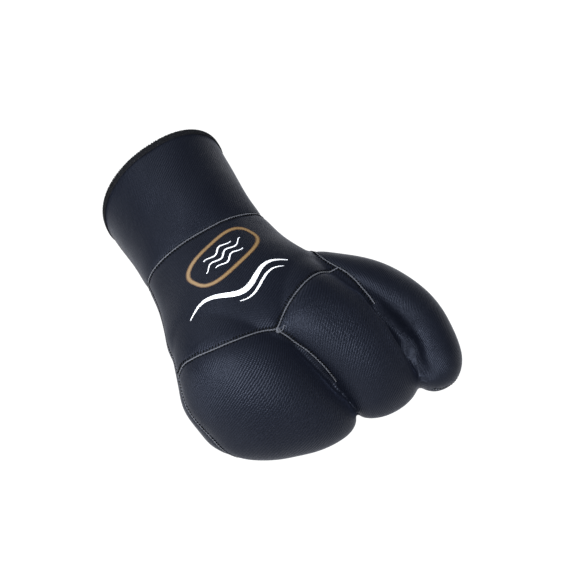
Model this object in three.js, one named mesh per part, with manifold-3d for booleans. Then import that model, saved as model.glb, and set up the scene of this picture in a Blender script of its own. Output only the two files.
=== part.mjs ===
// A right-hand three-finger diving mitt in thick neoprene, lying palm down.
// It is a hollow shell sewn from panels: a cuff with an overlocked rim, the back of the
// hand, the backs of a three-finger pocket and an index pocket, one palm panel that runs
// on under both pockets, and a thumb in two halves.
// Millimetres. The fingers point to -Y, the thumb to +X and the back of the hand to +Z.
// The origin is on the floor, under the middle of the mitt's box.

import * as THREE from 'three';
import { mergeVertices } from 'three/addons/utils/BufferGeometryUtils.js';
import Module from 'manifold-3d';

const wasm = await Module();
wasm.setup();

// Sheet and seams
const neoprene = 6.5;
const seamGap = 0.3;

// Cuff
const cuffLength = 72;
const cuffWidth = 105;
const cuffHeight = 86;
const rimBandWidth = 4.5;
const rimBandThickness = 0.9;

// Wrist and hand
const wristWidth = 101;
const wristHeight = 60;
const backLength = 78;
const palmWidth = 135;
const palmHeight = 64;
const knuckleLevel = 52;

// Pocket for three fingers
const threeFingerLength = 116;
const threeFingerWidth = 95;
const threeFingerHeight = 56;
const threeFingerCurl = 76;
const threeFingerLean = 20;

// Pocket for the index finger
const indexLength = 122;
const indexWidth = 62;
const indexHeight = 52;
const indexCurl = 70;

// Thumb
const thumbWidth = 43;
const thumbHeight = 44;
const thumbReach = 95;
const thumbForward = 94;
const thumbRootLevel = 46;

const degrees = Math.PI / 180;
const ringSides = 28;

// The mitt is drawn with its wrist seam at y = backLength and its knuckles near y = 0
const wristY = backLength;
const rimY = wristY + cuffLength;

// Cross-sections of cuff and hand, from the rim to the knuckles: place along the mitt,
// place of the middle sideways and above the floor, width, height, and how far the
// section rolls about the mitt's length and tilts back at the top, in degrees
const handRows = [
  {
    at: rimY,
    side: 0.045 * cuffWidth,
    width: cuffWidth,
    height: cuffHeight,
    level: 0.506 * cuffHeight,
    roll: 5,
    tilt: 9,
  },
  {
    at: wristY + 0.7 * cuffLength,
    side: 0.028 * cuffWidth,
    width: 0.97 * cuffWidth,
    height: 0.94 * cuffHeight,
    level: 0.488 * cuffHeight,
    roll: 4,
    tilt: 6,
  },
  {
    at: wristY + 0.35 * cuffLength,
    side: 0.012 * cuffWidth,
    width: 0.945 * cuffWidth,
    height: 0.84 * cuffHeight,
    level: 0.51 * cuffHeight,
    roll: 3,
    tilt: 2,
  },
  {
    at: wristY,
    side: -0.005 * palmWidth,
    width: wristWidth,
    height: wristHeight,
    level: 0.87 * knuckleLevel,
    roll: 1,
    tilt: 0,
  },
  {
    at: 0.72 * backLength,
    side: -0.022 * palmWidth,
    width: 0.79 * palmWidth,
    height: 0.98 * palmHeight,
    level: 0.92 * knuckleLevel,
    roll: 0,
    tilt: 0,
  },
  {
    at: 0.49 * backLength,
    side: -0.033 * palmWidth,
    width: 0.86 * palmWidth,
    height: palmHeight,
    level: 0.96 * knuckleLevel,
    roll: 0,
    tilt: 0,
  },
  {
    at: 0.28 * backLength,
    side: -0.04 * palmWidth,
    width: 0.945 * palmWidth,
    height: 0.98 * palmHeight,
    level: 0.985 * knuckleLevel,
    roll: 0,
    tilt: 0,
  },
  {
    at: 0,
    side: -0.045 * palmWidth,
    width: palmWidth,
    height: 0.88 * palmHeight,
    level: knuckleLevel,
    roll: 0,
    tilt: 0,
  },
];

// Sections along a pocket: sideways place as a share of the palm's width,
// width and height as shares of the pocket's own, and lean in shares of its lean
const threeFingerRows = [
  { at: 0, side: -0.255, width: 0.68, height: 0.86, lean: 0 },
  { at: 0.24, side: -0.275, width: 0.84, height: 1.1, lean: 0.1 },
  { at: 0.48, side: -0.262, width: 1.0, height: 1.06, lean: 0.6 },
  { at: 0.73, side: -0.205, width: 1.1, height: 0.98, lean: 1 },
  { at: 1, side: -0.14, width: 1.1, height: 0.9, lean: 1 },
];
const indexRows = [
  { at: 0, side: 0.15, width: 1.08, height: 0.95 },
  { at: 0.24, side: 0.18, width: 1.22, height: 1.2 },
  { at: 0.48, side: 0.295, width: 1.16, height: 1.16 },
  { at: 0.73, side: 0.375, width: 1.06, height: 1.1 },
  { at: 1, side: 0.37, width: 0.96, height: 0.98 },
];
// The fold down the index finger: depth, turn round the section and spread in radians,
// and where it starts and how far it reaches along the finger
const indexFold = { depth: 9, turn: 33, spread: 0.22, start: 0.42, reach: 0.48 };
const thumbRows = [
  { at: 0, width: 1.1, height: 1.0 },
  { at: 0.22, width: 1.12, height: 1.08 },
  { at: 0.5, width: 1.04, height: 1.02 },
  { at: 0.8, width: 0.98, height: 0.94 },
  { at: 1, width: 0.88, height: 0.86 },
];

// Reads every column of a table at a place between its rows, on a smooth curve
function reader(rows) {
  const sorted = [...rows].sort((a, b) => a.at - b.at);
  const columns = Object.keys(sorted[0]).filter((name) => name !== 'at');
  const values = sorted.flatMap((row) => columns.map((name) => row[name]));
  const curve = new THREE.CubicInterpolant(sorted.map((row) => row.at), values, columns.length);
  return (at) => {
    const found = curve.evaluate(at);
    return Object.fromEntries(columns.map((name, i) => [name, found[i]]));
  };
}

// One ring of points: a squarish ellipse across the spine
function ringPoints(section) {
  const points = [];
  for (let k = 0; k < ringSides; k += 1) {
    const angle = (2 * Math.PI * k) / ringSides;
    const c = Math.cos(angle);
    const s = Math.sin(angle);
    const round = 2 / section.power;
    const dent = section.dent ? section.dent(angle) : 0;
    const x = (section.halfWidth - dent) * Math.sign(c) * Math.abs(c) ** round;
    const z = section.halfHeight * Math.sign(s) * Math.abs(s) ** round;
    points.push(
      section.centre.clone().addScaledVector(section.side, x).addScaledVector(section.up, z),
    );
  }
  return points;
}

// Soft tips settle on the floor: what would sink below it is pressed up and rounded
const settleHeight = 18;
function settle(z, sink) {
  if (z > settleHeight) return z;
  const swell = (settleHeight + sink) / settleHeight;
  const depth = (settleHeight - z) / (settleHeight + sink);
  return settleHeight * (1 - swell * depth + (swell - 1) * depth * depth);
}

// A closed skin through the rings, with a fan at each end
function loft(sections, sink = 0) {
  const rings = sections.map(ringPoints);
  for (const point of [...rings.flat(), ...sections.map((section) => section.centre)]) {
    point.z = settle(point.z, sink);
  }
  const positions = [];
  const index = [];
  for (const ring of rings) {
    for (const point of ring) positions.push(point.x, point.y, point.z);
  }
  for (let row = 0; row < rings.length - 1; row += 1) {
    for (let k = 0; k < ringSides; k += 1) {
      const next = (k + 1) % ringSides;
      const a = row * ringSides + k;
      const b = row * ringSides + next;
      const c = a + ringSides;
      const d = b + ringSides;
      index.push(a, b, c, b, d, c);
    }
  }
  const ends = [sections[0].centre, sections[sections.length - 1].centre];
  const first = positions.length / 3;
  for (const end of ends) positions.push(end.x, end.y, end.z);
  const lastRing = (rings.length - 1) * ringSides;
  for (let k = 0; k < ringSides; k += 1) {
    const next = (k + 1) % ringSides;
    index.push(first, next, k);
    index.push(first + 1, lastRing + k, lastRing + next);
  }
  const geometry = new THREE.BufferGeometry();
  geometry.setAttribute('position', new THREE.Float32BufferAttribute(positions, 3));
  geometry.setIndex(index);
  return geometry;
}

// Stations along a pocket: even steps, then closer ones round the tip
function stations(body, steps, capSteps) {
  const list = [];
  for (let i = 0; i <= steps; i += 1) list.push({ at: (body * i) / steps, cap: 1 });
  for (let i = 1; i <= capSteps; i += 1) {
    const turn = (i / (capSteps + 0.35)) * (Math.PI / 2);
    list.push({ at: body + (1 - body) * Math.sin(turn), cap: Math.cos(turn) ** 0.8 });
  }
  return list;
}

// Walks along an arc that curls down from the hand
function curlSpine(curl, length, at) {
  const steps = 40;
  const centre = pocketStart.clone();
  const stride = (length * at) / steps;
  for (let i = 0; i < steps; i += 1) {
    const angle = pocketPitch + (curl * at * (i + 0.5)) / steps;
    centre.y -= Math.cos(angle) * stride;
    centre.z -= Math.sin(angle) * stride;
  }
  const angle = pocketPitch + curl * at;
  return {
    centre,
    side: new THREE.Vector3(1, 0, 0),
    up: new THREE.Vector3(0, -Math.sin(angle), Math.cos(angle)),
  };
}

// Hand and cuff, in by `wall` for the hollow
const handAt = reader(handRows);
const handRings = 13;
const noseDrop = 0.25;
const noseLength = 0.4 * backLength;
function handSection(y, wall, shrink) {
  const row = handAt(Math.min(rimY, Math.max(0, y)));
  const drop = Math.max(0, -y) * noseDrop;
  const along = new THREE.Vector3(0, 1, 0);
  return {
    centre: new THREE.Vector3(row.side, y, row.level - drop),
    side: new THREE.Vector3(1, 0, 0).applyAxisAngle(along, -row.roll * degrees),
    up: new THREE.Vector3(0, Math.sin(row.tilt * degrees), Math.cos(row.tilt * degrees))
      .applyAxisAngle(along, -row.roll * degrees),
    halfWidth: (row.width / 2 - wall) * shrink,
    halfHeight: (row.height / 2 - wall) * shrink,
    power: 2.15,
  };
}

function handSolid(wall) {
  const sections = [];
  if (wall > 0) sections.push(handSection(rimY + neoprene, wall, 1));
  for (let ring = 0; ring <= handRings; ring += 1) {
    sections.push(handSection(rimY * (1 - ring / handRings), wall, 1));
  }
  // The front end rounds off inside the finger pockets
  for (const turn of [25, 50, 70, 84]) {
    const reach = (noseLength - wall) * Math.sin(turn * degrees);
    sections.push(handSection(-reach, wall, Math.cos(turn * degrees) ** 0.6));
  }
  return solid(loft(sections));
}

function pocketSolid(pocket, wall) {
  const sections = stations(pocket.body, pocket.steps, 5).map(({ at, cap }) => {
    const place = at * (1 - wall / pocket.length);
    const row = pocket.read(place);
    return {
      ...pocket.spine(place, row),
      halfWidth: (row.width * pocket.width / 2 - wall) * cap,
      halfHeight: (row.height * pocket.height / 2 - wall) * cap,
      power: pocket.power,
      dent: pocket.dent ? (angle) => pocket.dent(angle, at) * cap : undefined,
    };
  });
  return solid(loft(sections, pocket.sink));
}

// Moves a curled section sideways and turns it about the vertical
function leaning(section, sideways, lean = 0) {
  const vertical = new THREE.Vector3(0, 0, 1);
  section.centre.x += sideways;
  section.side.applyAxisAngle(vertical, -lean);
  section.up.applyAxisAngle(vertical, -lean);
  return section;
}

// Both finger pockets begin inside the hand, heading a little upwards
const pocketStart = new THREE.Vector3(0, 0.3 * backLength, knuckleLevel);
const pocketPitch = -2 * degrees;

const threeFingers = {
  read: reader(threeFingerRows),
  length: threeFingerLength,
  width: threeFingerWidth,
  height: threeFingerHeight,
  power: 2.2,
  sink: 9,
  body: 0.76,
  steps: 8,
  spine: (at, row) => leaning(
    curlSpine(threeFingerCurl * degrees, threeFingerLength, at),
    row.side * palmWidth,
    row.lean * threeFingerLean * degrees,
  ),
};

const indexFinger = {
  read: reader(indexRows),
  length: indexLength,
  width: indexWidth,
  height: indexHeight,
  power: 2.3,
  sink: 10,
  body: 0.8,
  steps: 9,
  spine: (at, row) => leaning(
    curlSpine(indexCurl * degrees, indexLength, at),
    row.side * palmWidth,
  ),
  // A fold where the finger's thumb side buckles
  dent: (angle, at) => {
    const turn = Math.atan2(Math.sin(angle), Math.cos(angle)) - indexFold.turn * degrees;
    const across = Math.exp(-((turn / indexFold.spread) ** 2));
    const share = Math.min(1, Math.max(0, (at - indexFold.start) / indexFold.reach));
    return indexFold.depth * across * Math.sin(Math.PI * share);
  },
};

const thumbLine = new THREE.CatmullRomCurve3([
  new THREE.Vector3(0.42 * thumbReach, 0.21 * thumbForward, 0.98 * thumbRootLevel),
  new THREE.Vector3(0.64 * thumbReach, 0.01 * thumbForward, 0.98 * thumbRootLevel),
  new THREE.Vector3(0.82 * thumbReach, -0.15 * thumbForward, 0.9 * thumbRootLevel),
  new THREE.Vector3(0.95 * thumbReach, -0.31 * thumbForward, 0.74 * thumbRootLevel),
  new THREE.Vector3(1.01 * thumbReach, -0.48 * thumbForward, 0.58 * thumbRootLevel),
  new THREE.Vector3(0.995 * thumbReach, -0.65 * thumbForward, 0.47 * thumbRootLevel),
  new THREE.Vector3(0.95 * thumbReach, -0.82 * thumbForward, 0.37 * thumbRootLevel),
  new THREE.Vector3(0.895 * thumbReach, -thumbForward, 0.27 * thumbRootLevel),
]);

const thumb = {
  read: reader(thumbRows),
  length: thumbLine.getLength(),
  width: thumbWidth,
  height: thumbHeight,
  power: 2.1,
  sink: 4,
  body: 0.84,
  steps: 9,
  spine: (at) => {
    const centre = thumbLine.getPointAt(at);
    const along = thumbLine.getTangentAt(at);
    const side = new THREE.Vector3().crossVectors(along, new THREE.Vector3(0, 0, 1)).negate();
    side.normalize();
    const up = new THREE.Vector3().crossVectors(along, side).normalize();
    return { centre, side, up };
  },
};

// three.js geometry to a manifold solid, and back
function solid(geometry) {
  const bare = geometry.clone();
  bare.deleteAttribute('normal');
  bare.deleteAttribute('uv');
  const merged = mergeVertices(bare, 1e-4);
  const mesh = new wasm.Mesh({
    numProp: 3,
    vertProperties: new Float32Array(merged.attributes.position.array),
    triVerts: new Uint32Array(merged.index.array),
  });
  return new wasm.Manifold(mesh);
}

function geometryOf(manifold) {
  const mesh = manifold.getMesh();
  const geometry = new THREE.BufferGeometry();
  geometry.setAttribute('position', new THREE.BufferAttribute(mesh.vertProperties, 3));
  geometry.setIndex(new THREE.BufferAttribute(mesh.triVerts, 1));
  geometry.computeVertexNormals();
  return geometry;
}

// Blocks that reach past the whole mitt, used to cut it
const farAway = 400;
const farCorner = new THREE.Vector3(farAway, farAway, farAway);

function block(min, max) {
  const size = new THREE.Vector3().subVectors(max, min);
  const middle = new THREE.Vector3().addVectors(min, max).multiplyScalar(0.5);
  const box = new THREE.BoxGeometry(size.x, size.y, size.z);
  box.translate(middle.x, middle.y, middle.z);
  return solid(box);
}

function above(level) {
  return block(new THREE.Vector3(-farAway, -farAway, level), farCorner);
}

function behind(y) {
  return block(new THREE.Vector3(-farAway, y, -farAway), farCorner);
}

// Moves a flat line to the left of its direction
function offsetLine(points, distance) {
  return points.map((point, i) => {
    const before = points[Math.max(0, i - 1)];
    const after = points[Math.min(points.length - 1, i + 1)];
    const along = new THREE.Vector2().subVectors(after, before).normalize();
    return new THREE.Vector2(point.x - along.y * distance, point.y + along.x * distance);
  });
}

function upright(outline) {
  const wall = new THREE.ExtrudeGeometry(outline, { depth: 2 * farAway, bevelEnabled: false });
  return wall.translate(0, 0, -farAway);
}

// The thumb's side of a line that runs towards the fingers, moved that way by `push`.
// The wall leans sideways by `lean` for each millimetre of height above `level`.
function thumbSideOf(line, push, lean = 0, level = 0) {
  const edge = offsetLine(line, push);
  const outline = new THREE.Shape([
    ...edge,
    new THREE.Vector2(farAway, edge[edge.length - 1].y),
    new THREE.Vector2(farAway, edge[0].y),
  ]);
  const shear = new THREE.Matrix4().makeShear(0, 0, 0, 0, lean, 0);
  const wall = upright(outline).translate(0, 0, -level).applyMatrix4(shear);
  return solid(wall.translate(0, 0, level));
}

// The fingers' side of a line that runs across the hand to -X, moved that way by `push`
function fingerSideOf(line, push) {
  const edge = offsetLine(line, push);
  const outline = new THREE.Shape([
    ...edge,
    new THREE.Vector2(edge[edge.length - 1].x, -farAway),
    new THREE.Vector2(edge[0].x, -farAway),
  ]);
  return solid(upright(outline));
}

// The back of the hand's side of a line of points (y, z) that runs towards the fingers
function backSideOf(line, push) {
  const edge = offsetLine(line, -push);
  const outline = new THREE.Shape([
    ...edge,
    new THREE.Vector2(-farAway, -farAway),
    new THREE.Vector2(-farAway, farAway),
    new THREE.Vector2(edge[0].x, farAway),
  ]);
  // The outline's x and y become the mitt's y and z, and its depth runs along x
  const turn = new THREE.Matrix4().makeBasis(
    new THREE.Vector3(0, 1, 0), new THREE.Vector3(0, 0, 1), new THREE.Vector3(1, 0, 0),
  );
  return solid(upright(outline).applyMatrix4(turn));
}

function splineThrough(rows, steps) {
  return new THREE.SplineCurve(rows.map(([x, y]) => new THREE.Vector2(x, y))).getPoints(steps);
}

// Seam between hand and thumb, from the heel of the hand to past the tips
const thumbSeam = splineThrough([
  [0.6 * palmWidth, 0.85 * backLength],
  [0.455 * palmWidth, 0.46 * backLength],
  [0.42 * palmWidth, 0.2 * backLength],
  [0.465 * palmWidth, -0.06 * backLength],
  [0.495 * palmWidth, -0.28 * backLength],
  [0.53 * palmWidth, -0.46 * backLength],
  [0.575 * palmWidth, -0.64 * backLength],
  [0.592 * palmWidth, -0.84 * backLength],
  [0.56 * palmWidth, -1.05 * backLength],
  [0.54 * palmWidth, -1.9 * backLength],
], 30);

// Seam between the two finger pockets, from the knuckles to past the tips
const dividerLevel = 30;
const dividerLean = -0.2;
const divider = splineThrough([
  [-0.12 * palmWidth, 0.1 * backLength],
  [0.013 * palmWidth, -0.245 * backLength],
  [0.053 * palmWidth, -0.35 * backLength],
  [0.09 * palmWidth, -0.48 * backLength],
  [0.115 * palmWidth, -0.62 * backLength],
  [0.135 * palmWidth, -0.8 * backLength],
  [0.155 * palmWidth, -1.05 * backLength],
  [0.17 * palmWidth, -1.9 * backLength],
], 27);

// Seam across the knuckles, in two arcs that meet at the divider
const knuckleSeam = [
  ...splineThrough([
    [0.9 * palmWidth, 0.02 * backLength],
    [0.44 * palmWidth, 0.03 * backLength],
    [0.29 * palmWidth, 0.015 * backLength],
    [0.155 * palmWidth, -0.055 * backLength],
    [0.04 * palmWidth, -0.145 * backLength],
    [-0.047 * palmWidth, -0.245 * backLength],
  ], 16),
  ...splineThrough([
    [-0.047 * palmWidth, -0.245 * backLength],
    [-0.12 * palmWidth, -0.2 * backLength],
    [-0.245 * palmWidth, -0.18 * backLength],
    [-0.395 * palmWidth, -0.135 * backLength],
    [-0.5 * palmWidth, -0.065 * backLength],
    [-0.56 * palmWidth, -0.02 * backLength],
    [-0.9 * palmWidth, 0.1 * backLength],
  ], 16).slice(1),
];

// Side seam, which runs at mid height from the wrist and down round the fingertips
const sideSeam = [];
for (const share of [1.4, 1.2, 1, 0.8, 0.6, 0.4]) {
  const y = share * backLength;
  sideSeam.push(new THREE.Vector2(y, handAt(Math.min(y, wristY)).level));
}
for (let step = 0; step <= 14; step += 1) {
  const { centre } = threeFingers.spine(step / 14, threeFingers.read(step / 14));
  sideSeam.push(new THREE.Vector2(centre.y, centre.z));
}
const seamEnd = sideSeam[sideSeam.length - 1];
sideSeam.push(new THREE.Vector2(seamEnd.x - 0.1 * backLength, -farAway));

// Seam along the thumb at mid height
const thumbSideSeam = [new THREE.Vector2(1.5 * backLength, thumbRootLevel)];
for (let step = 0; step <= 12; step += 1) {
  const centre = thumbLine.getPointAt(step / 12);
  thumbSideSeam.push(new THREE.Vector2(centre.y, centre.z));
}
thumbSideSeam.push(new THREE.Vector2(-1.4 * thumbForward, 0.1 * thumbRootLevel));
thumbSideSeam.push(new THREE.Vector2(-3 * thumbForward, 0.1 * thumbRootLevel));

function glove(wall) {
  return handSolid(wall)
    .add(pocketSolid(threeFingers, wall))
    .add(pocketSolid(indexFinger, wall))
    .add(pocketSolid(thumb, wall));
}

// A plug of the cuff's own section, from one place along the mitt to another
function cuffPlug(from, to, wall) {
  return solid(loft([handSection(to, wall, 1), handSection(from, wall, 1)]));
}

// The overlocked rim: a thin band round the cuff's end, folded over both faces
function rimBand() {
  const start = rimY - rimBandWidth;
  const skin = seamGap + rimBandThickness;
  const pastEnd = 1;
  const sheet = cuffPlug(start - pastEnd, rimY + seamGap, -seamGap)
    .subtract(cuffPlug(start - 2 * pastEnd, rimY + skin + pastEnd, neoprene + seamGap));
  return cuffPlug(start, rimY + skin, -skin)
    .subtract(cuffPlug(start - 2 * pastEnd, rimY + skin + pastEnd, neoprene + skin))
    .subtract(sheet)
    .intersect(above(0));
}

// A slab on both sides of a seam's wall, from the crotch to past the tips
function slab(seamAt, reach, crotch) {
  return seamAt(-reach).subtract(seamAt(reach)).subtract(behind(crotch));
}

const dividerAt = (push) => thumbSideOf(divider, push, dividerLean, dividerLevel);
const thumbSeamAt = (push) => thumbSideOf(thumbSeam, push);
const fingerCrotchY = -0.62 * backLength;
const thumbCrotchY = -0.42 * backLength;

// The pockets press on each other beyond their crotches, with a wall on each side
const outer = glove(0).intersect(above(0));
const inner = glove(neoprene).intersect(above(neoprene))
  .subtract(slab(dividerAt, neoprene, fingerCrotchY))
  .subtract(slab(thumbSeamAt, neoprene, thumbCrotchY));
const half = seamGap / 2;
const shell = outer.subtract(inner).subtract(slab(dividerAt, half, fingerCrotchY));

// The shell is parted at its seams
const hand = shell.subtract(behind(wristY - half));
const thumbShell = hand.intersect(thumbSeamAt(half));
const palmAndBacks = hand.subtract(thumbSeamAt(-half));
const backs = palmAndBacks.intersect(backSideOf(sideSeam, half));
const pocketBacks = backs.intersect(fingerSideOf(knuckleSeam, half));

const navy = { color: 0x232734, roughness: 0.82, metalness: 0 };
const thread = { color: 0x3a3d42, roughness: 0.9, metalness: 0 };
const mitt = new THREE.Group();

function addPiece(name, manifold, look) {
  const mesh = new THREE.Mesh(geometryOf(manifold), new THREE.MeshStandardMaterial(look));
  mesh.name = name;
  mitt.add(mesh);
}

addPiece('cuff', shell.intersect(behind(wristY + half)), navy);
addPiece('cuff_edge', rimBand(), thread);
addPiece('hand_back', backs.subtract(fingerSideOf(knuckleSeam, -half)), navy);
addPiece('three_finger_back', pocketBacks.subtract(dividerAt(-half)), navy);
addPiece('index_back', pocketBacks.intersect(dividerAt(half)), navy);
addPiece('palm', palmAndBacks.subtract(backSideOf(sideSeam, -half)), navy);
addPiece('thumb_upper', thumbShell.intersect(backSideOf(thumbSideSeam, half)), navy);
addPiece('thumb_lower', thumbShell.subtract(backSideOf(thumbSideSeam, -half)), navy);

// Put the origin on the floor, under the middle of the box
const box = new THREE.Box3().setFromObject(mitt);
const middle = box.getCenter(new THREE.Vector3());
mitt.position.set(-middle.x, -middle.y, 0);

export default mitt;
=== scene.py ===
# A right-hand diving mitt in thick navy neoprene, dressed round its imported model.
# The tables are in millimetres, in the solid model's drawing frame; the meshes are in metres.
import math

import bmesh
import bpy
import numpy as np
from mathutils import Matrix, Vector
from mathutils.bvhtree import BVHTree
from mathutils.kdtree import KDTree


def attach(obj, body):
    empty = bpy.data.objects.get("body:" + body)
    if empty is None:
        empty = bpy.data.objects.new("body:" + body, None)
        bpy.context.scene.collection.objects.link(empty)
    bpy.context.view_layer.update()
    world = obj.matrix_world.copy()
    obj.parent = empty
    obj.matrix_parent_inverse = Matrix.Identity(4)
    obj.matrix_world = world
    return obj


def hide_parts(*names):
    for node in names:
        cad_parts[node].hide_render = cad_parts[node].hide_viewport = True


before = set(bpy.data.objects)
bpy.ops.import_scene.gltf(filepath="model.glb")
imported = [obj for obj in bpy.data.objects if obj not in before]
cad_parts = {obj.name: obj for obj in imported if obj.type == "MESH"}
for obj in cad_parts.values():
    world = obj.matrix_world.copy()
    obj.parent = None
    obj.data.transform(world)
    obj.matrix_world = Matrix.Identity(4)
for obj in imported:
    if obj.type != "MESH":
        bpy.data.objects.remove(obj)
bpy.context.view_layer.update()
print("frame loaded:", len(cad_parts), "nodes")

mm = 0.001
turn = 2 * math.pi
degree = math.pi / 180

# The sizes of the solid model, and where its drawing frame lies in the finished one
mitt = {
    "neoprene": 6.5,
    "cuffLength": 72,
    "cuffWidth": 105,
    "cuffHeight": 86,
    "wristWidth": 101,
    "wristHeight": 60,
    "backLength": 78,
    "palmWidth": 135,
    "palmHeight": 64,
    "knuckleLevel": 52,
    "pocketPitch": -2,
    "noseLength": 31.2,
    "noseDrop": 0.25,
    "power": 2.15,
    "settleHeight": 18,
    "shift": (-18.0425, -31.1522, 0),
}
wristY = mitt["backLength"]
rimY = wristY + mitt["cuffLength"]

cuffW, cuffH, cuffL = mitt["cuffWidth"], mitt["cuffHeight"], mitt["cuffLength"]
palmW, palmH, backL = mitt["palmWidth"], mitt["palmHeight"], mitt["backLength"]
level = mitt["knuckleLevel"]

# at, side, width, height, level, roll, tilt, yaw
handTable = [
    (0, -0.045 * palmW, palmW, 0.88 * palmH, level, 0, 0, 0),
    (0.28 * backL, -0.04 * palmW, 0.945 * palmW, 0.98 * palmH, 0.985 * level, 0, 0, 0),
    (0.49 * backL, -0.033 * palmW, 0.86 * palmW, palmH, 0.96 * level, 0, 0, 0),
    (0.72 * backL, -0.022 * palmW, 0.79 * palmW, 0.98 * palmH, 0.92 * level, 0, 0, 0),
    (wristY, -0.005 * palmW, mitt["wristWidth"], mitt["wristHeight"], 0.87 * level, 1, 0, 0),
    (wristY + 0.35 * cuffL, 0.02 * cuffW, 0.945 * cuffW, 0.84 * cuffH, 0.51 * cuffH, 3, 2, 0),
    (wristY + 0.7 * cuffL, 0.048 * cuffW, 0.97 * cuffW, 0.94 * cuffH, 0.488 * cuffH, 4, 7, 1),
    (rimY, 0.069 * cuffW, cuffW, cuffH, 0.506 * cuffH, 5, 12, 3),
]
# at, side as a share of the palm's width, width and height as shares of the pocket's, lean
threeFingers = {
    "length": 116,
    "width": 95,
    "height": 56,
    "curl": 76,
    "lean": 20,
    "power": 2.2,
    "sink": 9,
    "body": 0.76,
    "rows": [
        (0, -0.255, 0.68, 0.86, 0),
        (0.24, -0.275, 0.84, 1.1, 0.1),
        (0.48, -0.262, 1.0, 1.06, 0.6),
        (0.73, -0.205, 1.1, 0.98, 1),
        (1, -0.14, 1.1, 0.9, 1),
    ],
}
indexFinger = {
    "length": 122,
    "width": 62,
    "height": 52,
    "curl": 70,
    "lean": 0,
    "power": 2.3,
    "sink": 10,
    "body": 0.8,
    "rows": [
        (0, 0.15, 1.08, 0.95, 0),
        (0.24, 0.18, 1.22, 1.2, 0),
        (0.48, 0.295, 1.16, 1.16, 0),
        (0.73, 0.375, 1.06, 1.1, 0),
        (1, 0.37, 0.96, 0.98, 0),
    ],
    "fold": {"depth": 9, "turn": 33, "spread": 0.22, "start": 0.42, "reach": 0.48},
}
thumb = {
    "width": 43,
    "height": 44,
    "reach": 95,
    "forward": 94,
    "rootLevel": 46,
    "power": 2.1,
    "sink": 4,
    "body": 0.84,
    "rows": [(0, 1.1, 1.0), (0.22, 1.12, 1.08), (0.5, 1.04, 1.02), (0.8, 0.98, 0.94),
             (1, 0.88, 0.86)],
    "line": [(0.42, 0.21, 0.98), (0.64, 0.01, 0.98), (0.82, -0.15, 0.9), (0.95, -0.31, 0.74),
             (1.01, -0.48, 0.58), (0.995, -0.65, 0.47), (0.95, -0.82, 0.37), (0.895, -1, 0.27)],
}

# How finely the skin is made
skin = {
    "sides": 96,
    "voxel": 1.05,
    "innerVoxel": 1.8,
    "smoothing": 5,
    "edgeSmoothing": 12,
    "edgeBand": 3.5,
    "edgeStart": 5,
    "normalSmoothing": 24,
    "valleySmoothing": 10,
    "gap": 0.12,
    "floorGap": 0.04,
    "seamFade": 2.2,
}


def unitRows(rows):
    return rows / np.maximum(np.linalg.norm(rows, axis=1), 1e-9)[:, None]


# The direction of a run of points at each of them
def directions(path, closed=False):
    if closed:
        return unitRows(np.roll(path, -1, axis=0) - np.roll(path, 1, axis=0))
    return unitRows(np.gradient(path, axis=0))


# How far along a curve each of its points lies
def runAlong(curve):
    strides = np.linalg.norm(np.diff(curve, axis=0), axis=1)
    return np.concatenate([[0], np.cumsum(strides)])


# One in the middle, fading on both sides over a width
def bell(distance, width):
    return np.exp(-((distance / width) ** 2))


# A soft step from nought at the start to one, a span further on
def ramp(value, start, span):
    share = np.clip((value - start) / span, 0, 1)
    return share * share * (3 - 2 * share)


# A smooth curve through the rows of a table, read for every column at once
def tableReader(rows):
    at = np.array([row[0] for row in rows], float)
    values = np.array([row[1:] for row in rows], float)

    def read(place):
        place = min(max(place, at[0]), at[-1])
        after = int(min(max(np.searchsorted(at, place, side="right"), 1), len(at) - 1))
        before = after - 1
        span = at[after] - at[before]
        p = (place - at[before]) / span
        if before == 0:
            earlier, weightBefore = after, -0.5
        else:
            earlier = before - 1
            weightBefore = 0.5 * span / (at[before] - at[earlier])
        if after == len(at) - 1:
            later, weightAfter = before, -0.5
        else:
            later = after + 1
            weightAfter = 0.5 * span / (at[later] - at[after])
        a = -weightBefore * p ** 3 + 2 * weightBefore * p ** 2 - weightBefore * p
        b = (1 + weightBefore) * p ** 3 + (-1.5 - 2 * weightBefore) * p ** 2
        b += (weightBefore - 0.5) * p + 1
        c = (-1 - weightAfter) * p ** 3 + (1.5 + weightAfter) * p ** 2 + 0.5 * p
        d = weightAfter * p ** 3 - weightAfter * p ** 2
        return a * values[earlier] + b * values[before] + c * values[after] + d * values[later]

    return read


# A spline through points, flat or in space; steps are spread evenly over its spans
def splineThrough(points, steps, centripetal=False):
    points = np.array(points, float)
    last = len(points) - 1
    result = []
    for step in range(steps + 1):
        place = last * step / steps
        span = min(int(place), last - 1)
        t = place - span
        p1, p2 = points[span], points[span + 1]
        if centripetal:
            p0 = points[span - 1] if span > 0 else 2 * p1 - p2
            p3 = points[span + 2] if span + 2 <= last else 2 * p2 - p1
            d0, d1, d2 = (math.sqrt(np.linalg.norm(b - a)) for a, b in
                          ((p0, p1), (p1, p2), (p2, p3)))
            v1 = ((p1 - p0) / d0 - (p2 - p0) / (d0 + d1) + (p2 - p1) / d1) * d1
            v2 = ((p2 - p1) / d1 - (p3 - p1) / (d1 + d2) + (p3 - p2) / d2) * d1
        else:
            p0 = points[max(span - 1, 0)]
            p3 = points[min(span + 2, last)]
            v1, v2 = (p2 - p0) / 2, (p3 - p1) / 2
        result.append(
            (2 * p1 - 2 * p2 + v1 + v2) * t ** 3 + (3 * p2 - 3 * p1 - 2 * v1 - v2) * t ** 2
            + v1 * t + p1
        )
    return np.array(result)


# A section of a form, with the wall's thickness taken off, and shrunk at the tips
def sectionOf(form, centre, side, up, size, wall, shrink, dent=None):
    return {
        "centre": centre,
        "side": side,
        "up": up,
        "halfWidth": (size[0] / 2 - wall) * shrink,
        "halfHeight": (size[1] / 2 - wall) * shrink,
        "power": form["power"],
        "dent": dent,
    }


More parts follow.
